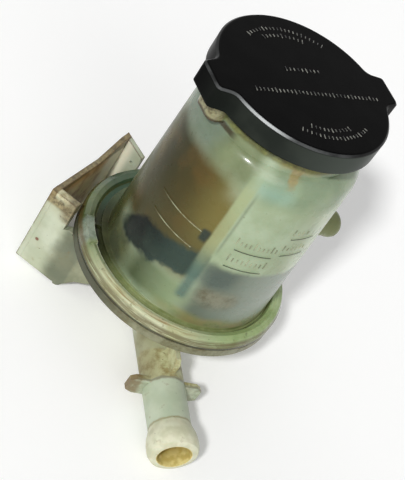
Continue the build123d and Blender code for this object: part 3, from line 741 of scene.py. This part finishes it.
def mark_material():
    """Raised marks on the cap, with painted glints here and there."""
    m = Mat("marks_with_painted_glints")
    # dark marks with light patches: painted glints
    base = m.mottle(2.2, (24, 24, 24), (132, 132, 124))
    m.normals(0.15, (m.noise(0.6, detail=2.0), 0.2, 0.1))
    return m.finish(base, m.uneven(0.2, 0.2, 1.5), Specular_IOR_Level=0.4)


def plain_material(name, a, b, rough, grain):
    """Two close colours in soft clouds, with a fine grain."""
    m = Mat(name)
    base = m.mottle(grain * 6, a, b, detail=4.0)
    m.normals(0.3, (m.noise(grain), 0.15, 0.2))
    return m.finish(base, m.uneven(rough, 0.15, grain * 3))


def mesh_material():
    """Fine square weave."""
    m = Mat("woven_mesh")
    weave = m.times(m.math("SINE", m.times(m.x, MESH_WAVE)), m.math("SINE", m.times(m.y, MESH_WAVE)))
    base = m.mix(m.step(weave, -0.2, 0.3), lin(66, 62, 44), lin(140, 134, 104))
    base = m.over(base, m.step(m.noise(6.0), 0.45, 0.65), lin(84, 74, 44), 0.4)
    m.normals(0.1, (weave, 0.4, 0.2))
    return m.finish(base, m.uneven(0.5, 0.2, 3.0))


def add(name, mesh, material, body):
    """New piece of the visual model, carried by a body of the frame."""
    obj = bpy.data.objects.new(name, mesh)
    bpy.context.scene.collection.objects.link(obj)
    mesh.materials.clear()
    mesh.materials.append(material)
    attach(obj, body)
    return obj


def smooth_skin(node, name, body, material, angle):
    """The node's own shape with its curved faces shaded smooth."""
    mesh = frame["nodes"][node].data.copy()
    bm = bmesh.new()
    bm.from_mesh(mesh)
    bmesh.ops.remove_doubles(bm, verts=bm.verts, dist=1e-6)
    bm.to_mesh(mesh)
    bm.free()
    obj = add(name, mesh, material, body)
    for other in bpy.context.selected_objects:
        other.select_set(False)
    bpy.context.view_layer.objects.active = obj
    obj.select_set(True)
    if mesh.has_custom_normals:
        bpy.ops.mesh.customdata_custom_splitnormals_clear()
    bpy.ops.object.shade_smooth_by_angle(angle=math.radians(angle))
    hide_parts(node)


def dress(node, material):
    """Material on a node of the frame that keeps its own mesh."""
    mats = frame["nodes"][node].data.materials
    mats.clear()
    mats.append(material)


def raised_bar(bm, centre, along, across, out, length, width, height):
    """Small raised bar with sloping sides, added to the mesh."""
    foot = []
    top = []
    for a, b in ((-1, -1), (1, -1), (1, 1), (-1, 1)):
        spot = centre + along * (a * length / 2) + across * (b * width / 2)
        foot.append(bm.verts.new((spot - out * TICK_ROOT) / MM))
        spot = centre + along * (a * (length / 2 - height * 0.5))
        spot += across * (b * (width / 2 - height * 0.4))
        top.append(bm.verts.new((spot + out * height) / MM))
    bm.faces.new(top)
    for k in range(4):
        n = (k + 1) % 4
        bm.faces.new((foot[k], foot[n], top[n], top[k]))


def mesh_from(name, bm):
    """Mesh with its faces turned outwards."""
    bmesh.ops.recalc_face_normals(bm, faces=bm.faces)
    mesh = bpy.data.meshes.new(name)
    bm.to_mesh(mesh)
    bm.free()
    return mesh


def evenly(first, last, step):
    """Places from first to last, both included, about one step apart."""
    count = int((last - first) / step)
    return [first + (last - first) * k / count for k in range(count + 1)]


def round_axis(az):
    """Directions out from the upright axis at an azimuth, and to the left along the circle."""
    a = math.radians(az)
    return Vector((math.cos(a), math.sin(a), 0.0)), Vector((-math.sin(a), math.cos(a), 0.0))


def level_scale():
    """Plain ticks of the level scale, between and above the lines on the body."""
    bm = bmesh.new()
    up = Vector((0, 0, 1))
    for height, first, last, tall in LEVEL_TICKS:
        r = BODY_FOOT_R - BODY_DRAFT * (height - BODY_FOOT_Z)
        for k, az in enumerate(evenly(first, last, LEVEL_TICK_STEP)):
            out, along = round_axis(az)
            tick = tall if k % LEVEL_LONG_EVERY == 0 else tall * LEVEL_SHORT
            centre = out * r + Vector((BODY_X, 0.0, height + (tick - tall) / 2))
            raised_bar(bm, centre, up, along, out, tick, LEVEL_TICK_W, LEVEL_TICK_H)
    return mesh_from("level_scale", bm)


def cap_marks():
    """Plain raised ticks on top of the cap, in arcs near its edge and in rows along the ears."""
    bm = bmesh.new()
    up = Vector((0, 0, 1))
    top = Vector((0, 0, CAP_TOP_Z))
    long, short = ARC_TICKS
    for radius, first, last in CAP_ARCS:
        for k, az in enumerate(evenly(first, last, math.degrees(CAP_TICK_STEP / radius))):
            out, along = round_axis(az)
            length = long if k % CAP_LONG_EVERY == 0 else short
            raised_bar(bm, out * radius + top, out, along, up, length, CAP_TICK_W, CAP_TICK_H)
    long, short = ROW_TICKS
    along, left = round_axis(EAR_AZ)
    for offset, first, last in CAP_ROWS:
        for k, place in enumerate(evenly(first, last, CAP_TICK_STEP)):
            centre = along * place - left * offset + top
            length = long if k % CAP_LONG_EVERY == 0 else short
            raised_bar(bm, centre, -left, along, up, length, CAP_TICK_W, CAP_TICK_H)
    return mesh_from("cap_marks", bm)


def pieces():
    """The skins, the raised ticks and the materials of the pieces inside."""
    smooth_skin("upper_shell", "body_skin", "reservoir", body_material(), angle=40)
    smooth_skin("lower_shell", "base_skin", "reservoir", base_material(), angle=30)
    smooth_skin("cap", "cap_skin", "cap_body", cap_material(), angle=35)
    scale_nylon = plain_material("scale_nylon", (118, 124, 98), (168, 172, 140), rough=0.3, grain=0.8)
    add("level_scale", level_scale(), scale_nylon, "reservoir")
    add("cap_marks", cap_marks(), mark_material(), "cap_body")
    for node, *look in PLAIN_PIECES:
        dress(node, plain_material(*look))
    dress("strainer_mesh", mesh_material())


def seen_directly(tree):
    """1 for camera, glossy and transmission rays, 0 for the light that falls on the part."""
    ray = tree.nodes.new("ShaderNodeLightPath")
    seen = ray.outputs["Is Camera Ray"]
    for other in ("Is Glossy Ray", "Is Transmission Ray"):
        larger = tree.nodes.new("ShaderNodeMath")
        larger.operation = "MAXIMUM"
        tree.links.new(seen, larger.inputs[0])
        tree.links.new(ray.outputs[other], larger.inputs[1])
        seen = larger.outputs[0]
    return seen


def strength_by_ray(tree, hidden, seen, socket):
    """Strength that is one number for the rays seen directly and another for the rest."""
    span = tree.nodes.new("ShaderNodeMapRange")
    tree.links.new(seen_directly(tree), span.inputs[0])
    span.inputs[3].default_value = hidden
    span.inputs[4].default_value = seen
    tree.links.new(span.outputs[0], socket)


def floor():
    """Plain pale floor."""
    bpy.ops.mesh.primitive_plane_add(size=FLOOR_SIZE, location=(0, 0, 0))
    obj = bpy.context.object
    obj.name = "floor"
    mat = bpy.data.materials.new("pale_floor")
    mat.use_nodes = True
    bsdf = mat.node_tree.nodes["Principled BSDF"]
    bsdf.inputs["Base Color"].default_value = FLOOR_COLOUR
    bsdf.inputs["Roughness"].default_value = 0.9
    bsdf.inputs["Specular IOR Level"].default_value = 0.1
    bsdf.inputs["Emission Color"].default_value = WHITE
    strength_by_ray(mat.node_tree, 0.0, FLOOR_LIFT, bsdf.inputs["Emission Strength"])
    obj.data.materials.append(mat)


def sun(name, towards, strength, spread):
    """Even light that comes from the direction given, with an apparent size in degrees."""
    light = bpy.data.lights.new(name, "SUN")
    light.energy = strength
    light.angle = math.radians(spread)
    obj = bpy.data.objects.new(name, light)
    bpy.context.scene.collection.objects.link(obj)
    obj.rotation_euler = Vector(towards).to_track_quat("Z", "Y").to_euler()


def world():
    """Even white sky, dim as a light and white as a background."""
    sky = bpy.data.worlds.new("studio")
    bpy.context.scene.world = sky
    sky.use_nodes = True
    background = sky.node_tree.nodes["Background"]
    background.inputs[0].default_value = WHITE
    strength_by_ray(sky.node_tree, SKY_LIGHT, SKY_SEEN, background.inputs[1])


def camera():
    """Camera that stands where the photo was taken from."""
    cam = bpy.data.cameras.new("camera")
    cam.lens = LENS
    cam.sensor_width = SENSOR
    cam.clip_start = 0.01
    obj = bpy.data.objects.new("camera", cam)
    bpy.context.scene.collection.objects.link(obj)
    turn = Matrix((RIGHT, UP, BACK)).transposed().to_4x4()
    obj.matrix_world = Matrix.Translation(EYE) @ turn
    bpy.context.scene.camera = obj


pieces()
floor()
world()
for light in SUNS:
    sun(*light)
camera()
bpy.context.scene.view_settings.view_transform = "Standard"
